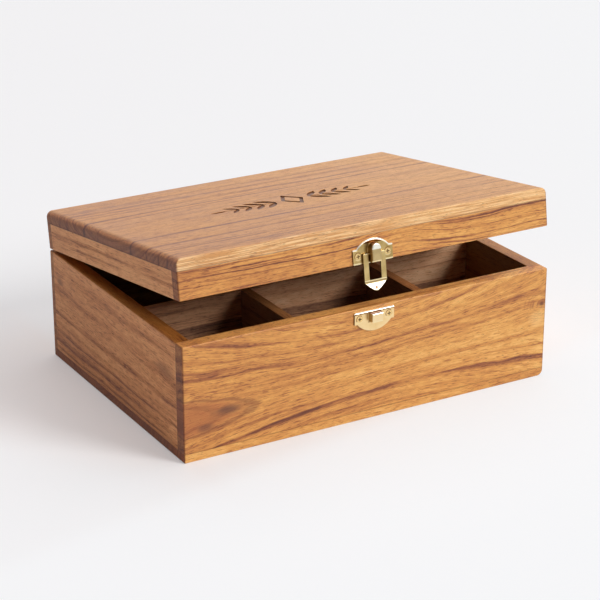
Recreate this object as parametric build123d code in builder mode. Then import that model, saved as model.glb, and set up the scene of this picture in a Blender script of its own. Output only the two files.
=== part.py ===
"""Keepsake box: a hardwood box with a hinged lid, a brass catch and divided compartments.

Millimetres. The origin is at the centre of the underside, +X runs along the front,
+Y towards the hinges and +Z up. The lid and its brass are drawn shut, then turned
about the hinge pins to the angle at which the lid stands ajar.
"""
import os
from math import cos, radians, sin

from build123d import *

# Overall sizes
box_length = 280.0
box_depth = 203.5
base_height = 79.7
lid_height = 27.0
lid_gap = 0.4                  # between the two rims when the lid is shut
lid_ajar_angle = 8.2
lid_open_angle = 95.0

# Boards
wall = 10.0
bottom_thickness = 6.2
lid_top_thickness = 8.4
base_front_lip = 9.2           # part of the thickness that laps the end board's end
base_back_lip = 5.5
lid_front_lip = 7.4
lid_back_lip = 6.0

# Rounding of the outer edges
outline_round = 0.8            # all round the front and back faces
rim_end_round = 1.0            # left and right ends of both rims
underside_left_round = 1.0
underside_right_round = 4.4    # this end is sanded rounder
lid_end_round = 4.5
inner_ease = 0.5

# Partition and dividers
partition_thickness = 6.8
front_row_depth = 72.7
divider_thickness = 6.9
divider_centre = 49.7
divider_drop = 6.5             # tops below the rim
housing_depth = 3.0            # of the grooves that hold their ends
housing_play = 0.1

# Brass catch: plates, housing on the lid and lug on the base
plate_thickness = 1.0
plate_corner = 0.5
latch_plate_width = 30.0
latch_plate_base = 0.3         # above the lid's rim
latch_ear_top = 10.4
latch_ear_flat = 2.7
latch_dome_top = 16.2
housing_width = 7.2
housing_base = 1.1
housing_top = 13.6
housing_reach = 5.2            # in front of the plate
housing_flare = 0.7
housing_edge = 1.0
catch_plate_width = 30.2
catch_plate_drop = 2.0         # below the base's rim
catch_ear_bottom = 10.5
catch_ear_flat = 2.2
catch_dome_bottom = 16.5
lug_width = 8.4
lug_top = 3.3
lug_bottom = 9.7
lug_reach = 4.3
lug_corner = 0.8
lug_edge = 0.6
lug_flare = 0.7

# Bail
bail_thickness = 1.2
bail_width = 16.7
bail_window = 9.2
bail_stand_off = 0.4           # behind the bail, to the plate
bail_pivot_height = 6.3        # above the lid's rim
bail_arm_top = 7.0
bail_arm_corner = 0.8
bail_window_bottom = 10.9      # below the lid's rim
bail_window_corner = 0.8
bail_foot_corner = 0.8
bail_fold = 13.0
tab_angle = 12.0
tab_length = 5.2
tab_shoulder = 5.2             # half width at the shoulder, and how far below the fold it is
tab_shoulder_drop = 2.2
tab_waist = 3.1                # half width where the tab turns into its tip
tab_tip = 1.3                  # from there to the tab's end
dimple_rise = 2.1              # its centre above the tab's end
dimple_radius = 1.2
dimple_depth = 0.3
pivot_radius = 0.6
pivot_play = 0.05
pivot_depth = 1.8

# Hinges
hinge_inset = 52.0             # from the box's ends to the hinges' centres
leaf_length = 38.0
leaf_reach = 9.0
leaf_thickness = 1.2
leaf_play = 0.1
knuckle_radius = 2.2
knuckle_count = 5
knuckle_play = 0.2             # between neighbours along the pin
barrel_offset = 3.0            # pin centre behind the back faces
pin_radius = 1.0
pin_play = 0.04
pin_head_radius = 1.6
pin_head_height = 0.6
heel_clearance = 0.55          # between a heel and the other leaf's knuckles
heel_reach = 6.0
heel_play_angle = 3.0

# Screws
screw_play = 0.05
plate_screw_spacing = 22.5
latch_screw_height = 5.6
catch_screw_drop = 6.9
plate_screw_head = 2.25
plate_screw_shank = 1.0
plate_screw_length = 8.5
leaf_screw_spacing = 13.0
leaf_screw_count = 3
leaf_screw_head = 1.75
leaf_screw_shank = 0.8
leaf_screw_length = 8.0
screw_head_rim = 0.15
recess_width = 0.28            # of the cross's slots, as shares of the head's radius
recess_length = 1.15
recess_depth = 0.6
recess_taper = 12.0

# Engraved leaf sprigs on the lid
engraving_depth = 0.8
sprig_start = 13.0
sprig_stem_end = 52.0
stem_width = 1.5
leaf_pitch = 9.6
leaf_pairs = 4
leaf_longest = 17.5
leaf_shortest = 12.5
leaf_slimness = 0.3            # width as a share of the length
leaf_lean = 50.0
end_leaf_length = 13.0
lozenge_length = 17.0
lozenge_width = 33.0
lozenge_band = 2.6

# Places worked out from the sizes above
front_face = -box_depth / 2
back_face = box_depth / 2
lid_rim = base_height + lid_gap
lid_joint = lid_rim + lid_height - lid_top_thickness
lid_surface = lid_rim + lid_height
inner_top = base_height - divider_drop
partition_front = front_face + wall + front_row_depth
pin_y = back_face + barrel_offset
pin_z = base_height + lid_gap / 2
bail_y = front_face - plate_thickness - bail_stand_off - bail_thickness / 2
bail_pivot_z = lid_rim + bail_pivot_height
hinge_axis = Axis((0, pin_y, pin_z), (-1, 0, 0))
front_plane = Plane.XZ.offset(-front_face)
hinge_centres = {"left": hinge_inset - box_length / 2, "right": box_length / 2 - hinge_inset}

os.makedirs("parts", exist_ok=True)


def save(piece, name, on_lid=False):
    """Label a finished piece and write it, turned ajar first if it belongs to the lid."""
    if on_lid:
        piece = piece.rotate(hinge_axis, lid_ajar_angle)
    piece.label = name
    export_step(piece, f"parts/{name}.step")


# ---------------------------------------------------------------- wooden boards

def rounded_block(bottom, height, low_left_round, low_right_round, high_round):
    """Block of the full footprint: its long edges along Y rounded first, then both outlines."""
    with BuildPart() as block:
        with BuildSketch(Plane.XZ.offset(-back_face)):
            with Locations((0, bottom + height / 2)):
                Rectangle(box_length, height)
            fillet(vertices().group_by(Axis.Y)[0].sort_by(Axis.X)[0], low_left_round)
            fillet(vertices().group_by(Axis.Y)[0].sort_by(Axis.X)[-1], low_right_round)
            fillet(vertices().group_by(Axis.Y)[-1], high_round)
        extrude(amount=box_depth)
        outlines = faces().filter_by(Axis.Y)
        fillet(outlines.edges(), outline_round)
    return block.part


def long_board(block, side, lip, bottom, height):
    """Front (side -1) or back (side 1) board, with a lap and a short mitre at each end."""
    outer = side * box_depth / 2
    half = box_length / 2
    corner = [(half, outer), (half, outer - side * lip), (half - lip, outer - side * lip),
              (half - wall, outer - side * wall)]
    mirrored = [(-x, y) for x, y in reversed(corner)]
    with BuildPart() as board:
        with BuildSketch(Plane.XY.offset(bottom)):
            with BuildLine():
                Polyline(corner + mirrored, close=True)
            make_face()
        extrude(amount=height)
        add(block, mode=Mode.INTERSECT)
    return board.part


def end_board(block, side, front_lip, back_lip, bottom, height):
    """Left (side -1) or right (side 1) board, between the laps of the long boards."""
    outer = side * box_length / 2
    outline = [(outer, front_face + front_lip),
               (outer - side * front_lip, front_face + front_lip),
               (outer - side * wall, front_face + wall),
               (outer - side * wall, back_face - wall),
               (outer - side * back_lip, back_face - back_lip),
               (outer, back_face - back_lip)]
    with BuildPart() as board:
        with BuildSketch(Plane.XY.offset(bottom)):
            with BuildLine():
                Polyline(outline, close=True)
            make_face()
        extrude(amount=height)
        add(block, mode=Mode.INTERSECT)
    return board.part


base_block = rounded_block(0, base_height, underside_left_round, underside_right_round,
                           rim_end_round)
lid_block = rounded_block(lid_rim, lid_height, rim_end_round, rim_end_round, lid_end_round)
base_frame_height = base_height - bottom_thickness
lid_frame_height = lid_height - lid_top_thickness


# ---------------------------------------------------------------- screws

def screw_body(head, shank, length, play=0.0):
    """Countersunk head, shank and point along -Z from the origin, grown by the play."""
    with BuildPart() as body:
        with BuildSketch(Plane.XZ):
            with BuildLine():
                Polyline((0, play), (head + play, play), (head + play, -screw_head_rim),
                         (shank + play, -screw_head_rim - head + shank),
                         (shank + play, -length + shank), (0, -length - play), close=True)
            make_face()
        revolve(axis=Axis.Z)
    return body.part


def wood_screw(head, shank, length):
    """Screw with a cross recess in its head."""
    with BuildPart() as screw:
        add(screw_body(head, shank, length))
        with BuildSketch():
            Rectangle(recess_length * head, recess_width * head)
            Rectangle(recess_width * head, recess_length * head)
        extrude(amount=-recess_depth, taper=recess_taper, mode=Mode.SUBTRACT)
    return screw.part


plate_screw_sizes = (plate_screw_head, plate_screw_shank, plate_screw_length)
leaf_screw_sizes = (leaf_screw_head, leaf_screw_shank, leaf_screw_length)
plate_screw = wood_screw(*plate_screw_sizes)
plate_screw_hole = screw_body(*plate_screw_sizes, screw_play)
leaf_screw = wood_screw(*leaf_screw_sizes)
leaf_screw_hole = screw_body(*leaf_screw_sizes, screw_play)


def plate_screw_places(height):
    """Two places on the front of a brass plate, at the given height."""
    plane = Plane.XZ.offset(plate_thickness - front_face)
    return [plane * Location((side * plate_screw_spacing / 2, height)) for side in (-1, 1)]


def leaf_screw_places(centres, height, up):
    """Places along hinge leaves whose screws go down, or up where up is true."""
    turn = 180 if up else 0
    first = -(leaf_screw_count - 1) / 2
    return [Location((centre + (first + i) * leaf_screw_spacing, back_face - leaf_reach / 2,
                      height), (turn, 0, 0))
            for centre in centres for i in range(leaf_screw_count)]


latch_screw_places = plate_screw_places(lid_rim + latch_screw_height)
catch_screw_places = plate_screw_places(base_height - catch_screw_drop)
base_leaf_screw_places = leaf_screw_places(hinge_centres.values(), base_height, up=False)
lid_leaf_screw_places = leaf_screw_places(hinge_centres.values(), lid_rim, up=True)


# ---------------------------------------------------------------- base

with BuildPart() as base_bottom:
    with BuildSketch():
        Rectangle(box_length, box_depth)
    extrude(amount=bottom_thickness)
    add(base_block, mode=Mode.INTERSECT)
save(base_bottom.part, "base_bottom")

with BuildPart() as base_front:
    add(long_board(base_block, -1, base_front_lip, bottom_thickness, base_frame_height))
    fillet(edges().filter_by(Axis.X).group_by(Axis.Z)[-1].sort_by(Axis.Y)[-1], inner_ease)
    with BuildSketch(Plane.XY.offset(bottom_thickness)):
        with Locations((-divider_centre, front_face + wall), (divider_centre, front_face + wall)):
            Rectangle(divider_thickness + 2 * housing_play, 2 * housing_depth)
    extrude(amount=inner_top - bottom_thickness + housing_play, mode=Mode.SUBTRACT)
    with Locations(*catch_screw_places):
        add(plate_screw_hole, mode=Mode.SUBTRACT)
save(base_front.part, "base_front")

with BuildPart() as base_back:
    add(long_board(base_block, 1, base_back_lip, bottom_thickness, base_frame_height))
    fillet(edges().filter_by(Axis.X).group_by(Axis.Z)[-1].sort_by(Axis.Y)[0], inner_ease)
    with BuildSketch(Plane.XY.offset(base_height)):
        with Locations(*[(centre, back_face) for centre in hinge_centres.values()]):
            Rectangle(leaf_length + 2 * leaf_play, 2 * (leaf_reach + leaf_play))
    extrude(amount=-leaf_thickness, mode=Mode.SUBTRACT)
    with Locations(*base_leaf_screw_places):
        add(leaf_screw_hole, mode=Mode.SUBTRACT)
save(base_back.part, "base_back")

for side, name in ((-1, "left"), (1, "right")):
    inner_face = side * (box_length / 2 - wall)
    with BuildPart() as base_end:
        add(end_board(base_block, side, base_front_lip, base_back_lip,
                      bottom_thickness, base_frame_height))
        inner_edge = 0 if side > 0 else -1
        fillet(edges().filter_by(Axis.Y).group_by(Axis.Z)[-1].sort_by(Axis.X)[inner_edge],
               inner_ease)
        with BuildSketch(Plane.XY.offset(bottom_thickness)):
            with Locations((inner_face, partition_front + partition_thickness / 2)):
                Rectangle(2 * housing_depth, partition_thickness + 2 * housing_play)
        extrude(amount=inner_top - bottom_thickness + housing_play, mode=Mode.SUBTRACT)
    save(base_end.part, f"base_{name}")

with BuildPart() as partition_long:
    with BuildSketch(Plane.XY.offset(bottom_thickness)):
        with Locations((0, partition_front + partition_thickness / 2)):
            Rectangle(box_length - 2 * (wall - housing_depth + housing_play), partition_thickness)
    extrude(amount=inner_top - bottom_thickness)
    fillet(edges().filter_by(Axis.X).group_by(Axis.Z)[-1], inner_ease)
    with BuildSketch(Plane.XY.offset(bottom_thickness)):
        with Locations((-divider_centre, partition_front), (divider_centre, partition_front)):
            Rectangle(divider_thickness + 2 * housing_play, housing_depth)
    extrude(amount=inner_top - bottom_thickness, mode=Mode.SUBTRACT)
save(partition_long.part, "partition_long")

for side, name in ((-1, "left"), (1, "right")):
    divider_start = front_face + wall - housing_depth + housing_play
    divider_end = partition_front + housing_depth / 2 - housing_play
    with BuildPart() as divider:
        with BuildSketch(Plane.XY.offset(bottom_thickness)):
            with Locations((side * divider_centre, (divider_start + divider_end) / 2)):
                Rectangle(divider_thickness, divider_end - divider_start)
        extrude(amount=inner_top - bottom_thickness)
        fillet(edges().filter_by(Axis.Y).group_by(Axis.Z)[-1], inner_ease)
    save(divider.part, f"divider_{name}")


# ---------------------------------------------------------------- lid

def leaf_outline(length):
    """Almond shape from the origin along +X, between two equal arcs."""
    with BuildSketch() as leaf:
        with BuildLine():
            ThreePointArc((0, 0), (length / 2, length * leaf_slimness / 2), (length, 0))
            ThreePointArc((length, 0), (length / 2, -length * leaf_slimness / 2), (0, 0))
        make_face()
    return leaf.sketch


leaf_shrink = (leaf_longest - leaf_shortest) / (leaf_pairs - 1)
sprig_leaves = [leaf_outline(leaf_longest - i * leaf_shrink) for i in range(leaf_pairs)]
end_leaf = leaf_outline(end_leaf_length)

with BuildPart() as lid_top:
    with BuildSketch(Plane.XY.offset(lid_joint)):
        Rectangle(box_length, box_depth)
    extrude(amount=lid_top_thickness)
    add(lid_block, mode=Mode.INTERSECT)
    with BuildSketch(Plane.XY.offset(lid_surface)):
        with BuildLine():
            Polyline((lozenge_length / 2, 0), (0, lozenge_width / 2),
                     (-lozenge_length / 2, 0), (0, -lozenge_width / 2), close=True)
        make_face()
        offset(amount=-lozenge_band, mode=Mode.SUBTRACT)
        for turn in (0, 180):
            with Locations(Location((0, 0), turn)):
                with Locations(((sprig_start + sprig_stem_end) / 2, 0)):
                    Rectangle(sprig_stem_end - sprig_start, stem_width)
                with Locations((sprig_stem_end - stem_width, 0)):
                    add(end_leaf)
                for i, leaf in enumerate(sprig_leaves):
                    for lean in (leaf_lean, -leaf_lean):
                        with Locations(Location((sprig_start + i * leaf_pitch, 0), lean)):
                            add(leaf)
    extrude(amount=-engraving_depth, mode=Mode.SUBTRACT)
save(lid_top.part, "lid_top", on_lid=True)

with BuildPart() as lid_front:
    add(long_board(lid_block, -1, lid_front_lip, lid_rim, lid_frame_height))
    fillet(edges().filter_by(Axis.X).group_by(Axis.Z)[0].sort_by(Axis.Y)[-1], inner_ease)
    with Locations(*latch_screw_places):
        add(plate_screw_hole, mode=Mode.SUBTRACT)
save(lid_front.part, "lid_front", on_lid=True)

with BuildPart() as lid_back:
    add(long_board(lid_block, 1, lid_back_lip, lid_rim, lid_frame_height))
    fillet(edges().filter_by(Axis.X).group_by(Axis.Z)[0].sort_by(Axis.Y)[0], inner_ease)
    with BuildSketch(Plane.XY.offset(lid_rim)):
        with Locations(*[(centre, back_face) for centre in hinge_centres.values()]):
            Rectangle(leaf_length + 2 * leaf_play, 2 * (leaf_reach + leaf_play))
    extrude(amount=leaf_thickness, mode=Mode.SUBTRACT)
    with Locations(*lid_leaf_screw_places):
        add(leaf_screw_hole, mode=Mode.SUBTRACT)
save(lid_back.part, "lid_back", on_lid=True)

for side, name in ((-1, "left"), (1, "right")):
    with BuildPart() as lid_end:
        add(end_board(lid_block, side, lid_front_lip, lid_back_lip, lid_rim, lid_frame_height))
        inner_edge = 0 if side > 0 else -1
        fillet(edges().filter_by(Axis.Y).group_by(Axis.Z)[0].sort_by(Axis.X)[inner_edge],
               inner_ease)
    save(lid_end.part, f"lid_{name}", on_lid=True)


# ---------------------------------------------------------------- brass catch

def plate_outline(width, straight, ear_end, ear_flat, dome_end):
    """Plate with two ears beside a round dome, from its straight edge to the dome's end."""
    half = width / 2
    shoulder = half - ear_flat
    with BuildSketch() as plate:
        with BuildLine():
            Polyline((-shoulder, ear_end), (-half, ear_end), (-half, straight),
                     (half, straight), (half, ear_end), (shoulder, ear_end))
            ThreePointArc((shoulder, ear_end), (0, dome_end), (-shoulder, ear_end))
        make_face()
        fillet([v for v in vertices() if abs(abs(v.X) - half) < plate_corner], plate_corner)
    return plate.sketch


def root_edges(part, half_width):
    """Edges where a raised shape within the half width rises from the plate's front."""
    level = front_face - plate_thickness
    return [e for e in part.edges().filter_by_position(Axis.Y, level - 0.01, level + 0.01)
            if all(abs(v.X) < half_width + 0.01 for v in e.vertices())]


latch_outline = plate_outline(latch_plate_width, lid_rim + latch_plate_base,
                              lid_rim + latch_ear_top, latch_ear_flat, lid_rim + latch_dome_top)
catch_outline = plate_outline(catch_plate_width, base_height - catch_plate_drop,
                              base_height - catch_ear_bottom, catch_ear_flat,
                              base_height - catch_dome_bottom)

with BuildPart() as latch_plate:
    with BuildSketch(front_plane):
        add(latch_outline)
    extrude(amount=plate_thickness)
    with BuildSketch(front_plane):
        half = housing_width / 2
        foot, top = lid_rim + housing_base, lid_rim + housing_top
        with BuildLine():
            Polyline((-half, top - half), (-half, foot), (half, foot), (half, top - half))
            ThreePointArc((half, top - half), (0, top), (-half, top - half))
        make_face()
    extrude(amount=plate_thickness + housing_reach)
    fillet(faces().sort_by(Axis.Y)[0].edges(), housing_edge)
    fillet(root_edges(latch_plate.part, half), housing_flare)
    with Locations(Location((0, bail_y, bail_pivot_z), (0, 90, 0))):
        with Locations((0, 0, housing_width / 2), (0, 0, -housing_width / 2)):
            Cylinder(pivot_radius + pivot_play, 2 * pivot_depth, mode=Mode.SUBTRACT)
    with Locations(*latch_screw_places):
        add(plate_screw_hole, mode=Mode.SUBTRACT)
save(latch_plate.part, "latch_plate", on_lid=True)

with BuildPart() as catch_plate:
    with BuildSketch(front_plane):
        add(catch_outline)
    extrude(amount=plate_thickness)
    with BuildSketch(front_plane):
        with Locations((0, base_height - (lug_top + lug_bottom) / 2)):
            Rectangle(lug_width, lug_bottom - lug_top)
        fillet(vertices().group_by(Axis.Y)[0], lug_corner)
    extrude(amount=plate_thickness + lug_reach)
    fillet(faces().sort_by(Axis.Y)[0].edges(), lug_edge)
    fillet(root_edges(catch_plate.part, lug_width / 2), lug_flare)
    with Locations(*catch_screw_places):
        add(plate_screw_hole, mode=Mode.SUBTRACT)
save(catch_plate.part, "catch_plate")

with BuildPart() as latch_screws:
    with Locations(*latch_screw_places):
        add(plate_screw)
save(latch_screws.part, "latch_screws", on_lid=True)

with BuildPart() as catch_screws:
    with Locations(*catch_screw_places):
        add(plate_screw)
save(catch_screws.part, "catch_screws")

fold_z = lid_rim - bail_fold
fold_half = bail_width / 2 - bail_foot_corner
bail_plane = Plane.XZ.offset(-bail_y)
tab_plane = Plane(origin=(0, bail_y, fold_z), x_dir=(1, 0, 0),
                  z_dir=(0, -cos(radians(tab_angle)), sin(radians(tab_angle))))
with BuildPart() as latch_bail:
    with BuildSketch(bail_plane):
        with Locations((0, (lid_rim + bail_arm_top + fold_z) / 2)):
            Rectangle(bail_width, lid_rim + bail_arm_top - fold_z)
        fillet(vertices().group_by(Axis.Y)[-1], bail_arm_corner)
        fillet(vertices().group_by(Axis.Y)[0], bail_foot_corner)
        window_foot = lid_rim - bail_window_bottom
        with Locations((0, window_foot + bail_width)):
            RectangleRounded(bail_window, 2 * bail_width, bail_window_corner, mode=Mode.SUBTRACT)
    extrude(amount=bail_thickness / 2, both=True)
    with BuildSketch(tab_plane):
        with BuildLine():
            right_edge = Spline((fold_half, 0), (tab_shoulder, -tab_shoulder_drop),
                                (tab_waist, tab_tip - tab_length), (0, -tab_length),
                                tangents=((-1, -1), (-1, 0)))
            mirror(right_edge, about=Plane.YZ)
            Line((-fold_half, 0), (fold_half, 0))
        make_face()
    extrude(amount=bail_thickness / 2, both=True)
    with Locations(Location((0, bail_y, fold_z), (0, 90, 0))):
        Cylinder(bail_thickness / 2, 2 * fold_half)
    dimple_centre = tab_plane * Location((0, dimple_rise - tab_length, bail_thickness / 2
                                          + dimple_radius - dimple_depth))
    with Locations(dimple_centre):
        Sphere(dimple_radius, mode=Mode.SUBTRACT)
    stub_end = housing_width / 2 - pivot_depth + pivot_play
    stub_length = (bail_window + bail_width) / 4 - stub_end
    with Locations(Location((0, bail_y, bail_pivot_z), (0, 90, 0))):
        with Locations((0, 0, stub_end + stub_length / 2), (0, 0, -stub_end - stub_length / 2)):
            Cylinder(pivot_radius, stub_length)
save(latch_bail.part, "latch_bail", on_lid=True)


# ---------------------------------------------------------------- hinges

knuckle_length = (leaf_length - (knuckle_count - 1) * knuckle_play) / knuckle_count
knuckle_pitch = knuckle_length + knuckle_play
heel_start = knuckle_radius + heel_clearance
heel_angle = (lid_open_angle + heel_play_angle) / 2


def hinge_leaf(centre, upper):
    """Leaf of a stop hinge: mortised plate, its knuckles and the heel behind the barrel.

    The lower leaf has the outer knuckles, the upper one those between, and it is drawn
    as a lower leaf and mirrored in the plane through the pin.
    """
    own = range(1, knuckle_count, 2) if upper else range(0, knuckle_count, 2)
    own_centres = [centre + (i - (knuckle_count - 1) / 2) * knuckle_pitch for i in own]
    section = Plane(origin=(centre, pin_y, pin_z), x_dir=(0, 1, 0), z_dir=(1, 0, 0))
    plate_end = -heel_start
    plate_top = -lid_gap / 2
    with BuildPart() as leaf:
        with BuildSketch(section):
            with Locations(((plate_end - barrel_offset - leaf_reach) / 2,
                            plate_top - leaf_thickness / 2)):
                Rectangle(plate_end + barrel_offset + leaf_reach, leaf_thickness)
            with Locations(Location((0, 0), -heel_angle)):
                with Locations(((heel_start + heel_reach) / 2, -leaf_thickness / 2)):
                    Rectangle(heel_reach - heel_start, leaf_thickness)
        extrude(amount=leaf_length / 2, both=True)
        for knuckle_centre in own_centres:
            with BuildSketch(section.offset(knuckle_centre - centre)):
                Circle(knuckle_radius)
                with Locations((plate_end / 2, plate_top - leaf_thickness / 2)):
                    Rectangle(-plate_end, leaf_thickness)
                with Locations(Location((0, 0), -heel_angle)):
                    with Locations((heel_start / 2, -leaf_thickness / 2)):
                        Rectangle(heel_start, leaf_thickness)
            extrude(amount=knuckle_length / 2, both=True)
        with BuildSketch(section):
            Circle(pin_radius + pin_play)
        extrude(amount=leaf_length, both=True, mode=Mode.SUBTRACT)
        if upper:
            mirror(about=Plane.XY.offset(pin_z), mode=Mode.REPLACE)
        places = leaf_screw_places([centre], lid_rim if upper else base_height, upper)
        with Locations(*places):
            add(leaf_screw_hole, mode=Mode.SUBTRACT)
    return leaf.part


for name, centre in hinge_centres.items():
    save(hinge_leaf(centre, upper=False), f"hinge_{name}_base_leaf")
    save(hinge_leaf(centre, upper=True), f"hinge_{name}_lid_leaf", on_lid=True)
    with BuildPart() as hinge_pin:
        with Locations(Location((centre, pin_y, pin_z), (0, 90, 0))):
            Cylinder(pin_radius, leaf_length)
            with Locations((0, 0, (leaf_length + pin_head_height) / 2),
                           (0, 0, -(leaf_length + pin_head_height) / 2)):
                Cylinder(pin_head_radius, pin_head_height)
        fillet(edges().filter_by(GeomType.CIRCLE).group_by(Axis.X)[0], pin_head_height / 2)
        fillet(edges().filter_by(GeomType.CIRCLE).group_by(Axis.X)[-1], pin_head_height / 2)
    save(hinge_pin.part, f"hinge_{name}_pin")

with BuildPart() as hinge_base_screws:
    with Locations(*base_leaf_screw_places):
        add(leaf_screw)
save(hinge_base_screws.part, "hinge_base_screws")

with BuildPart() as hinge_lid_screws:
    with Locations(*lid_leaf_screw_places):
        add(leaf_screw)
save(hinge_lid_screws.part, "hinge_lid_screws", on_lid=True)
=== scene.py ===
"""Looks of a hardwood keepsake box with a hinged lid, divided compartments and a brass catch."""
from math import pi, radians

import bpy
import numpy as np
from mathutils import Euler, Matrix, Vector

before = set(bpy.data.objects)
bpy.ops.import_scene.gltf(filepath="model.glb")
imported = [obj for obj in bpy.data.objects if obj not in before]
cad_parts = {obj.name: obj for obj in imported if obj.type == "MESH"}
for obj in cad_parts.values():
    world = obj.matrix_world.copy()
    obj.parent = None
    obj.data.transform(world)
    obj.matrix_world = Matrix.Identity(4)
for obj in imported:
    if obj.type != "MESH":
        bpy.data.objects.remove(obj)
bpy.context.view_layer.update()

# ---------------------------------------------------------------- front board of the base
# Teak-like hardwood, 10 mm thick, planed and oiled to a satin sheen. Its growth lines sag
# under the rim and rise again from the underside, with plain golden wood between, a brown
# burl at the left end and a pin knot at the right.

BOX_LENGTH, BOX_DEPTH, BASE_HEIGHT = 280.0, 203.5, 79.7       # millimetres, as for all boards
BOTTOM_THICKNESS = 6.2                    # the four sides are glued on at this height
UPPER_LINE = (28.1, -0.0411, -0.000503)   # depth under the rim: a + b u + c u u
LOWER_LINE = (58.9, -0.0446, 0.000656)
LINE_SPACING = 45.0
FRONT_RINGS = [  # place from upper line 0 to lower line 1, softness before, after, darkness
    (-0.72, 0.10, 0.03, 0.25), (-0.47, 0.09, 0.03, 0.45), (-0.24, 0.07, 0.03, 0.30),
    (-0.02, 0.10, 0.03, 0.60), (0.12, 0.05, 0.03, 0.25), (1.00, 0.03, 0.10, 0.85),
    (1.25, 0.04, 0.08, 0.35), (1.48, 0.04, 0.08, 0.30)]
BURL_TIP, BURL_DEPTH, BURL_HALF_WIDTH = 50.0, 50.0, 13.0
KNOT = (136.5, 25.5)                      # along the front, and depth under the rim
GOLDEN = [(0.0, (104, 58, 44)), (0.30, (154, 92, 58)), (0.55, (197, 131, 71)),
          (0.78, (222, 160, 86)), (1.0, (242, 190, 114))]
HINGE_PIN = Vector((0.0, BOX_DEPTH / 2 + 3.0, BASE_HEIGHT + 0.2))
AJAR = radians(8.2)                       # the lid's angle at rest


class Varying:
    """A node's output: + - * / and abs() add Math nodes, and node() adds any other node."""

    def __init__(self, socket):
        self.socket = socket

    def node(self, kind, settings, inputs, output=0):
        """Add a node: settings first, a ramp's stops among them, then socket values or links."""
        tree = self.socket.id_data
        made = tree.nodes.new(kind)
        for name, value in settings.items():
            if name == "stops":
                first, last = made.color_ramp.elements
                first.position, first.color = value[0]
                last.position, last.color = value[-1]
                for position, shade in value[1:-1]:
                    made.color_ramp.elements.new(position).color = shade
            else:
                setattr(made, name, value)
        for name, value in inputs.items():
            if isinstance(value, Varying):
                tree.links.new(value.socket, made.inputs[name])
            else:
                made.inputs[name].default_value = value
        if isinstance(output, tuple):
            return tuple(Varying(made.outputs[each]) for each in output)
        return Varying(made.outputs[output])

    def maths(self, operation, *values):
        return self.node("ShaderNodeMath", {"operation": operation}, dict(enumerate(values)))

    def __add__(self, other):
        return self.maths("ADD", self, other)

    def __sub__(self, other):
        return self.maths("SUBTRACT", self, other)

    def __mul__(self, other):
        return self.maths("MULTIPLY", self, other)

    def __truediv__(self, other):
        return self.maths("DIVIDE", self, other)

    def __radd__(self, other):
        return self.maths("ADD", other, self)

    def __rsub__(self, other):
        return self.maths("SUBTRACT", other, self)

    def __rmul__(self, other):
        return self.maths("MULTIPLY", other, self)

    def __rtruediv__(self, other):
        return self.maths("DIVIDE", other, self)

    def __abs__(self):
        return self.maths("ABSOLUTE", self)


def paint(red, green, blue):
    """Linear colour for a socket from display values of 0 to 255."""
    shades = np.array([red, green, blue]) / 255
    linear = np.where(shades <= 0.04045, shades / 12.92, ((shades + 0.055) / 1.055) ** 2.4)
    return (*map(float, linear), 1.0)


def step(value, low, high):
    """0 below low, 1 above high and an S curve between; turned round where low is the higher."""
    if low > high:
        return 1 - step(value, high, low)
    return value.node("ShaderNodeMapRange", {"interpolation_type": "SMOOTHSTEP"},
                      {"Value": value, "From Min": low, "From Max": high})


def vector(u, v, w):
    return u.node("ShaderNodeCombineXYZ", {}, {0: u, 1: v, 2: w})


def length(u, v):
    """Square root of u u + v v."""
    both = vector(u, v, 0.0)
    return both.node("ShaderNodeVectorMath", {"operation": "LENGTH"}, {0: both}, "Value")


def dot(direction, way):
    """How far one vector goes along the other."""
    return direction.node("ShaderNodeVectorMath", {"operation": "DOT_PRODUCT"},
                          {0: direction, 1: way}, "Value")


def noise(point, cells, seed, detail=2.0, coarse=0.5):
    """Clouds from 0 to 1 whose cells measure the given millimetres along the three axes."""
    scaled = point.node("ShaderNodeVectorMath", {"operation": "MULTIPLY_ADD"},
                        {0: point, 1: tuple(1 / cell for cell in cells),
                         2: (seed * 7.31, seed * 3.77, seed * 5.13)})
    return point.node("ShaderNodeTexNoise", {"noise_dimensions": "3D"},
                      {"Vector": scaled, "Scale": 1.0, "Detail": detail, "Roughness": coarse})


def blend(factor, first, second, way="MIX"):
    return factor.node("ShaderNodeMix", {"data_type": "RGBA", "blend_type": way},
                       {0: factor, 6: first, 7: second}, 2)


def empty_tree(owner):
    """The node tree of a material or a world, with nothing in it yet."""
    owner.use_nodes = True
    owner.node_tree.nodes.clear()
    return owner.node_tree


def show(tree, shader, output="ShaderNodeOutputMaterial"):
    """The shader becomes what the surface, or the world, shows."""
    tree.links.new(shader.outputs[0], tree.nodes.new(output).inputs["Surface"])


def board_axes(origin, turn, upright=True, on_lid=False):
    """A board's own frame: its place, and its axes along the grain, across it and outwards."""
    place = Vector(origin)
    axes = Euler((pi / 2 if upright else 0.0, 0.0, radians(turn))).to_matrix()
    if on_lid:
        ajar = Matrix.Rotation(-AJAR, 3, "X")
        place = HINGE_PIN + ajar @ (place - HINGE_PIN)
        axes = ajar @ axes
    return place / 1000, axes


def board_point(tree, board):
    """The shaded point in the board's frame in millimetres, its u, v and w, and its normal."""
    coordinates = tree.nodes.new("ShaderNodeTexCoord")
    spot, facing = Varying(coordinates.outputs["Object"]), Varying(coordinates.outputs["Normal"])
    place, axes = board
    local = spot.node("ShaderNodeMapping", {"vector_type": "TEXTURE"},
                      {"Vector": spot, "Location": place, "Rotation": axes.to_euler(),
                       "Scale": (0.001, 0.001, 0.001)})
    return local, *local.node("ShaderNodeSeparateXYZ", {}, {0: local}, (0, 1, 2)), facing


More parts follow.
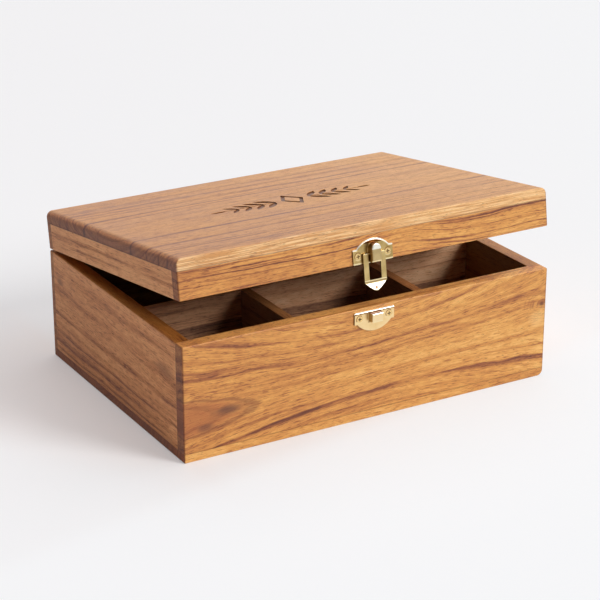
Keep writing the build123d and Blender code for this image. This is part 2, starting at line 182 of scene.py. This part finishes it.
def ring_profile(rings, span):
    """Ramp stops that hold 0 between the growth lines and rise to their darkness on them."""
    low, high = span
    stops = [(low, 0.0), (high, 0.0)]
    for place, before, after, darkness in rings:
        stops += [(place - before, 0.0), (place, darkness), (place + after, 0.0)]
    return [((at - low) / (high - low), (dark, dark, dark, 1.0)) for at, dark in sorted(stops)]


def timber(name, board, seed, tones, loose_streaks, bend=None, rings=(), span=(0.0, 1.0),
           marks=None, streak_gap=7.0, pith=(-160.0, -40.0), painted_light_slope=0.0, roughness=0.42,
           sheen=0.36, steady=0.25, half_length=BOX_LENGTH / 2, inner_shade=0.44, inner_side=-1.0,
           level=0.76, seam=None, rim=(1.0, 1.0, 1.0), ends=(1.06, 0.97, 1.16)):
    """Solid wood: growth lines round a pith, streaks, fibres, open pores and end grain.

    Tones run from dark to pale, level is the usual place among them and lean its change for
    each millimetre along the grain, a painted gradient of light. Loose_streaks is how dark the
    random streaks are, and streak_gap how wide. Bend(u, v) gives the place across the drawn
    lines and how far it moves for each millimetre; rings are those lines, as (place, softness
    before, softness after, darkness) within span, and steady is the share of a line that never
    breaks. Pith is the tree's centre as (v, w). Marks(u, v, fine, seed) yields masks with their
    colours. Sheen is the strength of the mirror gloss. Seam is a glue joint, as (axis, place).
    Ends tints the end grain. Rim multiplies the upper edge with painted light and shade, and
    hollow darkens the inner face, which looks along inner_side times w, with painted shade.
    """
    material = bpy.data.materials.new(name)
    tree = empty_tree(material)
    local, u, v, w, facing = board_point(tree, board)
    along, across, outwards = board[1].col

    wander = (noise(local, (90.0, 22.0, 22.0), seed) - 0.5) * 7.0
    wander = wander + (noise(local, (22.0, 5.0, 5.0), seed + 1) - 0.5) * 1.6
    drawn, scale = bend(u, v) if bend else (v, 1.0)
    rise = drawn * (1 / scale) + wander
    ring = length(rise - pith[0], w - pith[1])
    grown = vector(u, ring, w * 0.05)
    streaks = noise(grown, (150.0, streak_gap, 30.0), seed + 2, 4.0, 0.62)
    darkness = step(streaks, 0.50, 0.74) * loose_streaks
    if rings:
        spanned = (drawn + wander * scale - span[0]) / (span[1] - span[0])
        placed = spanned.node("ShaderNodeValToRGB", {"stops": ring_profile(rings, span)},
                              {0: spanned})
        broken = step(noise(grown, (38.0, 6.0, 30.0), seed + 3, 3.0), 0.28, 0.60)
        darkness = darkness + placed * (broken * (1 - steady) + steady)

    fine = vector(u, rise, w)
    cloud = noise(local, (60.0, 16.0, 16.0), seed + 4, 3.0) - 0.5
    figure = noise(fine, (9.0, 3.2, 3.2), seed + 5, 3.0, 0.6) - 0.5
    fibre = noise(fine, (26.0, 0.55, 0.55), seed + 6, 3.0, 0.65) - 0.5
    ticks = step(noise(fine, (7.0, 0.8, 0.8), seed + 8, 2.0), 0.54, 0.70)
    # The slope along the grain is a painted gradient of light.
    tone = level + u * painted_light_slope - darkness * 0.74 - ticks * 0.32 + cloud * 0.4 + figure * 0.5
    tone = tone + fibre * 0.6
    colour = tone.node("ShaderNodeValToRGB",
                       {"stops": [(at, paint(*shade)) for at, shade in tones]}, {0: tone})
    for mask, shade in marks(u, v, fine, seed + 20) if marks else ():
        colour = blend(mask, colour, paint(*shade))
    pore = step(noise(fine, (3.6, 0.32, 0.32), seed + 7, 1.0) + darkness * 0.06, 0.64, 0.72)
    colour = blend(pore * 0.55, colour, paint(92, 52, 36))

    from_middle = abs(u)
    arris = step(from_middle, half_length - 1.3, half_length - 0.3)
    colour = blend(arris * 0.7, colour, (0.36, 0.27, 0.28, 1.0), "MULTIPLY")
    cut_end = step(abs(dot(facing, along)), 0.30, 0.75)
    cut_end = cut_end * step(from_middle, half_length - 9.0, half_length - 7.0)
    arcs = step(noise(vector(ring, 0.0, 0.0), (2.6, 1.0, 1.0), seed + 9), 0.44, 0.60)
    colour = blend(cut_end, colour, (*ends, 1.0), "MULTIPLY")
    colour = blend(cut_end * arcs * 0.6, colour, (0.55, 0.50, 0.54, 1.0), "MULTIPLY")
    if seam:
        axis, place = seam
        joint = step(abs((u, v, w)[axis] - place), 0.55, 0.15)
        colour = blend(joint * 0.5, colour, (0.34, 0.26, 0.24, 1.0), "MULTIPLY")
    # The rim colour gives the upper edges painted light and shade.
    upwards = step(dot(facing, across), 0.6, 0.9)
    colour = blend(upwards, colour, (*rim, 1.0), "MULTIPLY")
    # Painted shade on the inner face.
    inside = step(dot(facing, outwards) * inner_side, 0.6, 0.9)
    colour = blend(inside, colour, (inner_shade, inner_shade * 0.94, inner_shade * 0.9, 1.0), "MULTIPLY")

    shader = tree.nodes.new("ShaderNodeBsdfPrincipled")
    shader.inputs["Specular IOR Level"].default_value = sheen
    height = fibre * 0.5 - pore
    relief = height.node("ShaderNodeBump", {},
                         {"Height": height, "Strength": 0.35, "Distance": 0.00012})
    rough = roughness + pore * 0.18 + cloud * 0.16 + cut_end * 0.15
    tree.links.new(colour.socket, shader.inputs["Base Color"])
    tree.links.new(rough.socket, shader.inputs["Roughness"])
    tree.links.new(relief.socket, shader.inputs["Normal"])
    show(tree, shader)
    return material


def dress(node, material):
    """The CAD piece takes this material."""
    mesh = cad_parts[node].data
    mesh.materials.clear()
    mesh.materials.append(material)


def front_bend(u, v):
    """Place between the two long lines, which give way above and below the knot."""
    depth = BASE_HEIGHT - v
    upper = UPPER_LINE[0] + u * UPPER_LINE[1] + u * u * UPPER_LINE[2]
    lower = LOWER_LINE[0] + u * LOWER_LINE[1] + u * u * LOWER_LINE[2]
    beside, above = (u - KNOT[0]) / 17.0, (depth - KNOT[1]) / 11.0
    far = beside * beside + above * above
    push = above * far.maths("EXPONENT", 0 - far)
    return (depth - upper) / (lower - upper) + push * 0.16, 1 / LINE_SPACING


def front_marks(u, v, fine, seed):
    """Brown burl, two smudges, the knot with its halo, and a slanting line along the rim."""
    depth = BASE_HEIGHT - v
    inwards = 0 - fine.node("ShaderNodeSeparateXYZ", {}, {0: fine}, 2)
    off_line = inwards - u * 0.038 - 2.6
    rim_line = step(abs(off_line), 1.5, 0.3) * step(depth, 0.3, 0.1)
    yield rim_line * 0.6, (166, 92, 36)
    ragged = (noise(fine, (14.0, 4.0, 4.0), seed, 3.0) - 0.5) * 0.7
    beside = (depth - BURL_DEPTH) / BURL_HALF_WIDTH
    burl = beside * beside + (u + BOX_LENGTH / 2) / BURL_TIP + ragged * 0.7
    yield step(burl, 1.15, 0.6) * 0.68, (172, 100, 60)
    for place, share in ((1.0, 0.55), (0.5, 0.3)):
        yield step(abs(burl - place), 0.17, 0.02) * share, (124, 70, 48)
    smudge = length((u + 108.0) / 10.0, (depth - 49.0) / 3.4) + ragged * 1.4
    yield step(smudge, 1.4, 0.2) * 0.75, (98, 66, 54)
    lower_smudge = length((u + 125.0) / 6.0, (depth - 58.0) / 2.6) + ragged * 1.4
    yield step(lower_smudge, 1.4, 0.3) * 0.6, (112, 72, 56)
    halo = length((u - 133.0) / 7.0, (depth - 36.0) / 6.0) + ragged
    yield step(halo, 1.3, 0.3) * 0.6, (240, 192, 124)
    round_knot = length((u - KNOT[0]) / 1.3, depth - KNOT[1]) + ragged * 3.2
    circles = noise(vector(round_knot, 0.0, 0.0), (2.4, 1.0, 1.0), seed + 1, 1.0)
    gaps = step(noise(fine, (12.0, 6.0, 6.0), seed + 2), 0.40, 0.56)
    yield step(circles, 0.44, 0.60) * step(round_knot, 15.0, 6.0) * gaps * 0.75, (154, 90, 56)
    yield step(round_knot, 2.2, 0.4) * 0.85, (108, 60, 44)


front_axes = board_axes((0.0, -BOX_DEPTH / 2, 0.0), 0.0)
# Its rim colour brightens the upper edge with painted light.
dress("base_front", timber("base_front_wood", front_axes, 3, GOLDEN, bend=front_bend,
                           rings=FRONT_RINGS, span=(-1.2, 1.8), marks=front_marks,
                           loose_streaks=0.4, streak_gap=5.0, painted_light_slope=0.0006,
                           seam=(1, BOTTOM_THICKNESS), rim=(1.25, 1.3, 1.4)))

# ---------------------------------------------------------------- rest of the base
# The same hardwood in plainer boards: the ends lie between the long boards' laps, and the
# flat bottom board closes the box from below, its edge showing under the four sides.

# A browner copy of the golden tones for the end boards: painted shade, as the left side faces
# away from the lamps.
BROWNER = [(0.0, (98, 56, 42)), (0.30, (150, 91, 62)), (0.55, (193, 125, 78)),
           (0.78, (218, 149, 97)), (1.0, (239, 175, 121))]
SIDE_HALF = 102.0             # half the length of the end boards
LEFT_RINGS = [(6.0, 2.0, 5.0, 0.3), (9.0, 0.8, 3.0, 0.75), (14.0, 1.0, 4.0, 0.35),
              (21.0, 0.8, 3.0, 0.75), (27.0, 2.0, 2.0, 0.3), (34.5, 1.0, 4.0, 0.6),
              (52.0, 4.0, 4.0, 0.3), (69.0, 2.0, 2.0, 0.25)]


def side_marks(u, v, fine, seed):
    """A small sunken knot near the back and a brown patch near the front."""
    ragged = (noise(fine, (14.0, 4.0, 4.0), seed, 3.0) - 0.5) * 1.2
    knot = length((u + 86.0) / 5.0, (v - 61.0) / 2.8) + ragged
    yield step(knot, 1.4, 0.3) * 0.6, (118, 72, 52)
    patch = length((u - 76.0) / 12.0, (v - 55.0) / 4.0) + ragged
    yield step(patch, 1.5, 0.3) * 0.5, (128, 80, 56)


# The end boards' rim colours darken their upper edges with painted shade from the lid.
left_axes = board_axes((-BOX_LENGTH / 2, 0.0, 0.0), -90.0)
dress("base_left", timber("base_left_wood", left_axes, 11, BROWNER, rings=LEFT_RINGS,
                          span=(-10.0, 90.0), marks=side_marks, loose_streaks=0.4,
                          pith=(-160.0, -60.0), roughness=0.5, sheen=0.16,
                          half_length=SIDE_HALF, level=0.83, seam=(1, BOTTOM_THICKNESS),
                          rim=(0.60, 0.52, 0.28)))
right_axes = board_axes((BOX_LENGTH / 2, 0.0, 0.0), 90.0)
dress("base_right", timber("base_right_wood", right_axes, 47, GOLDEN, loose_streaks=0.6,
                           half_length=SIDE_HALF, seam=(1, BOTTOM_THICKNESS),
                           rim=(0.7, 0.62, 0.52)))
back_axes = board_axes((0.0, BOX_DEPTH / 2, 0.0), 180.0)
dress("base_back", timber("base_back_wood", back_axes, 23, GOLDEN, loose_streaks=0.6,
                          pith=(-40.0, -30.0), seam=(1, BOTTOM_THICKNESS), inner_shade=0.3))
bottom_axes = board_axes((0.0, 0.0, 0.0), 0.0, upright=False)
dress("base_bottom", timber("base_bottom_wood", bottom_axes, 31, GOLDEN, loose_streaks=0.3,
                            pith=(40.0, 45.0), inner_side=1.0, level=0.86,
                            seam=(2, BOTTOM_THICKNESS), ends=(0.64, 0.40, 0.41)))

# ---------------------------------------------------------------- partition and dividers
# Thin boards housed in grooves: one runs the whole length, two cross the front row. They
# are planed but not oiled, so they are duller and greyer than the outside.

INNER = [(0.0, (96, 64, 48)), (0.30, (150, 106, 79)), (0.55, (194, 140, 103)),
         (0.78, (218, 163, 122)), (1.0, (232, 187, 146))]
# The second line is the front wall's shadow painted on the partition: darker up to it, with a
# sharp upper edge.
PARTITION_LINES_AND_SHADOW = [(59.0, 3.0, 1.0, 0.25), (45.6, 16.0, 1.4, 0.8)]


def partition_bend(u, v):
    """Lines that fall gently from left to right."""
    return v + u * 0.03, 1.0


partition_axes = board_axes((0.0, -19.05, BOTTOM_THICKNESS), 0.0)
dress("partition_long", timber("partition_wood", partition_axes, 61, INNER, bend=partition_bend,
                               rings=PARTITION_LINES_AND_SHADOW, span=(0.0, 75.0), loose_streaks=0.5,
                               streak_gap=2.4, roughness=0.6, inner_shade=1.0, level=0.86,
                               painted_light_slope=0.0008, steady=0.85))
# The dividers' rim colours darken their tops with painted shade from the lid.
for node, place, seed, rim in (("divider_left", -53.15, 67, (0.66, 0.52, 0.32)),
                               ("divider_right", 46.25, 71, (0.95, 0.72, 0.46))):
    divider_axes = board_axes((place, -55.0, BOTTOM_THICKNESS), -90.0)
    dress(node, timber(node + "_wood", divider_axes, seed, INNER, loose_streaks=0.7,
                       streak_gap=6.0, roughness=0.6, inner_side=1.0, rim=rim))

# ---------------------------------------------------------------- lid boards
# A full board lies on a frame of four narrow ones, glued and sanded round the outline. Its
# long straight lines run with the front edge, and a leaf ornament is cut 0.8 mm deep.

LID_RIM, LID_FRAME_TOP, LID_TOP = 80.1, 99.1, 107.1           # heights with the lid shut
LID_RINGS = [(-95.0, 2.0, 2.0, 0.3), (-89.0, 2.0, 1.0, 0.5), (-77.0, 1.5, 1.0, 0.7),
             (-60.0, 1.8, 1.2, 0.6), (-36.0, 3.0, 1.2, 0.7), (15.0, 2.0, 1.0, 0.35),
             (39.0, 2.5, 1.2, 0.8), (52.0, 3.0, 2.0, 0.35), (66.0, 4.0, 3.0, 0.45),
             (78.0, 3.0, 2.0, 0.35)]
TAN = [(0.0, (112, 68, 52)), (0.30, (156, 100, 68)), (0.55, (192, 132, 80)),
       (0.78, (212, 152, 92)), (1.0, (232, 178, 114))]
CUT_BROWN = (92, 52, 34)

lid_top_axes = board_axes((0.0, 0.0, LID_TOP), 0.0, upright=False, on_lid=True)


def cut_marks(u, v, fine, seed):
    """A golden front edge with painted highlight streaks, and the burnt brown floor and walls
    of the ornament, by their depth under the board's face.
    """
    depth = 0 - fine.node("ShaderNodeSeparateXYZ", {}, {0: fine}, 2)
    front_edge = step(v, -100.6, -101.3)
    # Painted highlight streaks along the front edge.
    highlight_streaks = step(noise(vector(u, v, depth), (30.0, 0.9, 0.7), seed + 1, 3.0), 0.44, 0.62)
    yield front_edge * 0.30, (226, 172, 112)
    yield front_edge * highlight_streaks * 0.7, (254, 218, 164)
    inside = step(length(u / 70.0, v / 27.0), 1.02, 1.0)
    singed = noise(fine, (5.0, 1.2, 1.2), seed, 2.0) * 0.25
    cut = step(depth, 0.08, 0.4) * step(depth, 1.6, 1.2)
    yield cut * inside * (1.0 - singed), CUT_BROWN


dress("lid_top", timber("lid_top_wood", lid_top_axes, 83, TAN, rings=LID_RINGS,
                        span=(-110.0, 110.0), marks=cut_marks, loose_streaks=0.55,
                        streak_gap=2.6, pith=(-2.0, 84.0), painted_light_slope=0.0011, steady=0.75,
                        seam=(2, LID_FRAME_TOP - LID_TOP)))
lid_front_axes = board_axes((0.0, -BOX_DEPTH / 2, LID_RIM), 0.0, on_lid=True)


def lid_front_bend(u, v):
    """Lines that rise in an arch right of the catch and run straight elsewhere."""
    beside = (u - 22.0) / 30.0
    arch = beside.maths("EXPONENT", 0 - beside * beside)
    return v - arch * 5.0, 1.0


dress("lid_front", timber("lid_front_wood", lid_front_axes, 91, GOLDEN, bend=lid_front_bend,
                          loose_streaks=1.1, streak_gap=2.0, painted_light_slope=0.0006, level=0.70))
lid_back_axes = board_axes((0.0, BOX_DEPTH / 2, LID_RIM), 180.0, on_lid=True)
dress("lid_back", timber("lid_back_wood", lid_back_axes, 97, GOLDEN, loose_streaks=0.6))
for node, side, seed in (("lid_left", -1, 101), ("lid_right", 1, 103)):
    lid_end_axes = board_axes((side * BOX_LENGTH / 2, 0.0, LID_RIM), side * 90.0, on_lid=True)
    dress(node, timber(node + "_wood", lid_end_axes, seed, BROWNER, loose_streaks=0.7,
                       streak_gap=3.5, roughness=0.5, sheen=0.16, half_length=SIDE_HALF,
                       level=0.92))

# ---------------------------------------------------------------- brass catch
# Stamped plates, a lug, a round-topped housing and a swinging bail, all of pale brass with a
# satin polish, held by four small screws with crossed recesses.

SHEET = 1.0                    # thickness of the two plates
SCREW_SPREAD = 11.25           # from the middle of a plate to a screw
DIMPLE_HEIGHT = -16.2          # above the lid's rim, as for all of the bail
NEARLY_STRAIGHT = 2000.0       # radius of a rolled edge that has no bend to see
# Painted shade and painted highlights for the brass: shade on the screws' rings and in the bail's
# dimple, deeper shade in the screws' recesses and on the block's top, shade round the block's
# foot and across the bail's fold, a white and a cream highlight, and shade on raised tops and
# left flanks.
RING_AND_DIMPLE_SHADE = paint(140, 76, 20)
DEEP_SHADE = paint(104, 56, 12)
SHADE_BROWN = paint(150, 112, 60)
WHITE_HIGHLIGHT = paint(255, 253, 238)
CREAM_HIGHLIGHT = paint(255, 236, 186)
SHADED_BRASS = paint(136, 100, 54)


def brass(name, board, pale, deep, roughness=0.3, marks=None, turn=(0.2, 0.45), edge_highlight=1.0,
          rolled=None):
    """Satin brass, with painted highlights on its upper edges and painted shade on its raised
    tops and left flanks.

    Turn is how far outwards an upper edge has to look to take the painted highlight, and worn
    is its strength. Rolled is a rounded upper lip along a circle, as (height of its centre,
    radius, lowest point), bumped round and painted white as a highlight.
    """
    material = bpy.data.materials.new(name)
    tree = empty_tree(material)
    local, u, v, w, facing = board_point(tree, board)
    along, across, outwards = board[1].col
    cloud = noise(local, (6.0, 6.0, 6.0), 3, 2.0)
    brushed = noise(local, (4.0, 0.3, 0.3), 5, 2.0)
    colour = blend(step(cloud, 0.3, 0.7), paint(*deep), paint(*pale))
    upper, left, outward = (dot(facing, way) for way in (across, -along, outwards))
    on_sheet = step(w, SHEET + 0.03, SHEET - 0.03)
    # Painted highlight on upper edges that look far enough outwards, and on the sheet's own upper
    # edges.
    lit_edge = step(upper, 0.25, 0.6) * outward.maths("MAXIMUM", step(outward, *turn), on_sheet)
    colour = blend(lit_edge * edge_highlight, colour, WHITE_HIGHLIGHT)
    # Painted shade on raised tops and on left flanks.
    raised_top = step(upper, 0.4, 0.7) * step(outward, *reversed(turn)) * (1 - on_sheet)
    colour = blend(raised_top * 0.8, colour, SHADED_BRASS)
    colour = blend(step(left, 0.4, 0.8) * 0.8, colour, SHADED_BRASS)
    for mask, shade in marks(u, v, w) if marks else ():
        colour = blend(mask, colour, shade)
    rough = roughness + (brushed - 0.5) * 0.1 + (cloud - 0.5) * 0.08
    relief = brushed.node("ShaderNodeBump", {}, {"Height": brushed, "Strength": 0.08,
                                                 "Distance": 0.00003})
    if rolled:
        centre, radius, lowest = rolled
        # The lip is painted white as a highlight, and the bump rounds it.
        lip = step(length(u, v - centre), radius - 1.3, radius - 0.3)
        lip = lip * step(w, 2.0, 1.2) * step(v, lowest, lowest + 0.4)
        colour = blend(lip, colour, WHITE_HIGHLIGHT)
        relief = relief.node("ShaderNodeBump", {}, {"Height": 1 - lip, "Strength": 1.0,
                                                    "Distance": 0.0004, "Normal": relief})
    shader = tree.nodes.new("ShaderNodeBsdfPrincipled")
    shader.inputs["Metallic"].default_value = 1.0
    tree.links.new(colour.socket, shader.inputs["Base Color"])
    tree.links.new(rough.socket, shader.inputs["Roughness"])
    tree.links.new(relief.socket, shader.inputs["Normal"])
    show(tree, shader)
    return material


def plate_marks(screw_height, block, cap, front_reflection):
    """Painted shade beside the raised block, on its top and on the upper side of each screw's
    ring, a painted reflection on the block's front, and painted highlights on its cap, along
    the feet of the block and the plate and on the lower side of each screw's ring.

    The block is given by its half width, foot, top and front, and cap by the heights between
    which its painted highlight on top begins.
    """
    half_width, foot, top, front = block

    def marks(u, v, w):
        off_block = u.maths("MAXIMUM", abs(u) - half_width,
                            v.maths("MAXIMUM", v - top, foot - v))
        # Painted shade round the block's foot and on its top, a painted reflection on its front,
        # and painted highlights on its cap and along the feet.
        yield step(off_block, 1.2, 0.1) * step(w, 2.4, 1.1) * 0.8, SHADE_BROWN
        yield step(w, front - 0.3, front - 0.05) * 0.5, front_reflection
        yield step(v, top - 0.5, top - 0.2) * step(w, front - 0.4, front - 0.9) * 0.95, DEEP_SHADE
        yield step(v, *cap) * step(w, front - 0.5, front - 0.2), WHITE_HIGHLIGHT
        yield step(v, foot + 1.3, foot + 0.9) * step(w, front - 1.2, front - 0.8) * 0.9, CREAM_HIGHLIGHT
        yield step(v, 1.5, 1.1) * step(w, SHEET + 0.3, SHEET + 0.05) * 0.9, CREAM_HIGHLIGHT
        # Each screw's ring: painted shade on its upper side, a painted highlight below.
        aside, above = u - u.maths("SIGN", u) * SCREW_SPREAD, v - screw_height
        from_screw = length(aside, above)
        ring = step(from_screw, 2.1, 2.25) * step(from_screw, 3.1, 2.5)
        yield ring * step(above - aside, 0.0, 1.2) * 0.9, RING_AND_DIMPLE_SHADE
        yield ring * step(above, -0.8, -1.8) * 0.6, CREAM_HIGHLIGHT

    return marks


def recess_marks(u, v, w):
    """Painted shade in the crossed recess, below the head's face."""
    yield step(w, SHEET - 0.03, SHEET - 0.12) * 0.95, DEEP_SHADE


def bail_marks(u, v, w):
    """Painted highlights on the arms' tops, the cross bar's upper edge and the tab, bands of
    painted light and shade across the fold, and painted shade in the punched dimple.
    """
    front = step(w, 2.3, 2.5)
    yield step(v, 6.2, 6.5) * front * 0.8, CREAM_HIGHLIGHT
    yield step(v, -10.7, -10.9) * front * 0.9, CREAM_HIGHLIGHT
    yield step(v, -11.5, -11.7) * front * 0.8, SHADE_BROWN
    yield step(v, -12.3, -12.5) * front, paint(214, 188, 130)
    yield step(v, -12.9, -13.2) * step(w, 2.3, 2.6), WHITE_HIGHLIGHT
    yield step(v, -15.4, -17.2) * 0.7, paint(244, 222, 164)
    yield step(length(u + 0.2, v - DIMPLE_HEIGHT), 1.15, 0.7) * 0.9, RING_AND_DIMPLE_SHADE


dress("catch_plate", brass("catch_brass", front_axes, (252, 222, 166), (244, 210, 150),
                           rolled=(BASE_HEIGHT - 2.0 - NEARLY_STRAIGHT, NEARLY_STRAIGHT, 76.5),
                          marks=plate_marks(BASE_HEIGHT - 6.9, (4.2, 70.0, 76.4, 5.3),
                                            (75.6, 76.2), paint(255, 232, 188))))
# The latch plate's brass is darker than the catch plate's: painted shade for a plate that tilts a
# little downwards with the lid.
dress("latch_plate", brass("latch_brass", lid_front_axes, (206, 178, 118), (178, 150, 92),
                           turn=(0.55, 0.8), rolled=(0.26, 15.94, 9.3),
                           marks=plate_marks(5.6, (3.6, 1.1, 13.6, 6.2), (9.2, 10.2),
                                             paint(206, 184, 140))))
dress("latch_bail", brass("bail_brass", lid_front_axes, (214, 188, 130), (196, 170, 112),
                          marks=bail_marks))
for node, board, pale, deep in (
        ("catch_screws", front_axes, (250, 214, 150), (232, 190, 122)),
        ("latch_screws", lid_front_axes, (244, 212, 148), (222, 186, 122))):
    dress(node, brass(node + "_brass", board, pale, deep, 0.28, recess_marks))

# ---------------------------------------------------------------- hinges
# Two brass stop hinges let into the back edges: five knuckles on a pin, heels that nearly
# meet when the lid stands open, and three screws in each leaf.

hinge_brass = brass("hinge_brass", back_axes, (226, 190, 130), (206, 166, 106), 0.34,
                    edge_highlight=0.15)
for side in ("left", "right"):
    for part in ("base_leaf", "lid_leaf", "pin"):
        dress(f"hinge_{side}_{part}", hinge_brass)
for node in ("hinge_base_screws", "hinge_lid_screws"):
    dress(node, hinge_brass)

# ---------------------------------------------------------------- floor, light and camera
# A seamless white table, a soft lamp from the front right, a larger one overhead, and the
# pale room, which metal and glossy wood mirror more brightly than it lights them.

FLOOR_REACH = 8.0                         # metres, as for all of the floor
floor_corners = np.array([(x, y, 0.0) for x, y in ((-1, -1), (1, -1), (1, 1), (-1, 1))])
floor_mesh = bpy.data.meshes.new("table")
floor_mesh.from_pydata((floor_corners * FLOOR_REACH).tolist(), [], [(0, 1, 2, 3)])
floor = bpy.data.objects.new("table", floor_mesh)
bpy.context.collection.objects.link(floor)
PALE = (0.93, 0.935, 0.955, 1.0)
PALEST = (0.95, 0.965, 0.985, 1.0)
WOOD_TINT = (1.0, 0.955, 0.935, 1.0)
DIM_ROOM = (0.22, 0.2, 0.2, 1.0)


def seen_directly(tree):
    """1 for rays from the camera, a mirror or glass, and 0 for those that carry light."""
    rays = tree.nodes.new("ShaderNodeLightPath")
    seen = Varying(rays.outputs["Is Camera Ray"])
    for kind in ("Is Glossy Ray", "Is Transmission Ray"):
        seen = seen.maths("MAXIMUM", seen, Varying(rays.outputs[kind]))
    return seen


floor_material = bpy.data.materials.new("table_white")
floor_tree = empty_tree(floor_material)
spot = Varying(floor_tree.nodes.new("ShaderNodeTexCoord").outputs["Object"])
rightwards = dot(spot, (0.865, -0.502, 0.0))
# Paler towards the right: a painted gradient of light across the table.
table_white = blend(step(rightwards, -0.4, 0.4), PALE, PALEST)

# The left side's brown wood warms the shade beside it, a soft patch that ends where the
# lamp's light begins.
east, north = spot.node("ShaderNodeSeparateXYZ", {}, {0: spot}, (0, 1))
wood_glow = step(length((east + 0.15) / 0.2, north / 0.2), 1.2, 0.5)
in_shade = step(east * 0.81 + north * 0.59, -0.22, -0.15)
left_of_box = step(east, -0.12, -0.14)
table_white = blend(wood_glow * in_shade * left_of_box, table_white, WOOD_TINT, "MULTIPLY")
matt = floor_tree.nodes.new("ShaderNodeBsdfDiffuse")
floor_tree.links.new(table_white.socket, matt.inputs["Color"])
glow = floor_tree.nodes.new("ShaderNodeEmission")
floor_tree.links.new(table_white.socket, glow.inputs["Color"])
# Seen directly, the table partly glows with its own white, more in front of the box: painted
# light that softens the shadows on it.
forwards = dot(spot, (0.2, -0.98, 0.0))
share = seen_directly(floor_tree) * (step(forwards, 0.09, 0.12) * 0.3 + 0.3)
table_mix = floor_tree.nodes.new("ShaderNodeMixShader")
floor_tree.links.new(share.socket, table_mix.inputs[0])
floor_tree.links.new(matt.outputs[0], table_mix.inputs[1])
floor_tree.links.new(glow.outputs[0], table_mix.inputs[2])
show(floor_tree, table_mix)
floor_mesh.materials.append(floor_material)

world = bpy.data.worlds.new("room")
bpy.context.scene.world = world
room_tree = empty_tree(world)
ambient = room_tree.nodes.new("ShaderNodeBackground")
ambient.inputs["Color"].default_value = (0.97, 0.98, 1.0, 1.0)
ambient.inputs["Strength"].default_value = 0.06
backdrop = room_tree.nodes.new("ShaderNodeBackground")
backdrop.inputs["Strength"].default_value = 1.0
sky = Varying(room_tree.nodes.new("ShaderNodeTexCoord").outputs["Generated"])
up_and_back = dot(sky, (0.25, 0.75, 0.6))
shade = blend(step(up_and_back, -0.4, 0.15), DIM_ROOM, PALE)
room_tree.links.new(shade.socket, backdrop.inputs["Color"])
room_mix = room_tree.nodes.new("ShaderNodeMixShader")
room_tree.links.new(seen_directly(room_tree).socket, room_mix.inputs[0])
room_tree.links.new(ambient.outputs[0], room_mix.inputs[1])
room_tree.links.new(backdrop.outputs[0], room_mix.inputs[2])
show(room_tree, room_mix, "ShaderNodeOutputWorld")


def far_lamp(name, towards, spread, strength, tint):
    """Light from far away in one direction, from a patch of sky of the given width in degrees."""
    lamp = bpy.data.lights.new(name, "SUN")
    lamp.angle, lamp.energy, lamp.color = radians(spread), strength, tint
    lamp_object = bpy.data.objects.new(name, lamp)
    bpy.context.collection.objects.link(lamp_object)
    lamp_object.rotation_euler = Vector(towards).to_track_quat("Z", "Y").to_euler()


far_lamp("key_lamp", (0.45, -0.62, 0.42), 24.0, 2.10, (1.0, 0.99, 0.97))
far_lamp("overhead_lamp", (0.25, 0.1, 1.0), 80.0, 1.80, (1.0, 0.967, 0.962))

CAMERA_PLACE = (-0.641220, -1.111312, 0.557450)
LOOKING_DOWN, TURNED_RIGHT = 21.6165, 30.1183                 # degrees
camera_data = bpy.data.cameras.new("camera")
camera_data.lens = 118.7
camera_data.sensor_width = 36.0
camera_data.clip_start, camera_data.clip_end = 0.01, 30.0
camera = bpy.data.objects.new("camera", camera_data)
bpy.context.collection.objects.link(camera)
camera.location = CAMERA_PLACE
camera.rotation_euler = (radians(90 - LOOKING_DOWN), 0.0, radians(-TURNED_RIGHT))
bpy.context.scene.camera = camera
bpy.context.scene.view_settings.view_transform = "Standard"
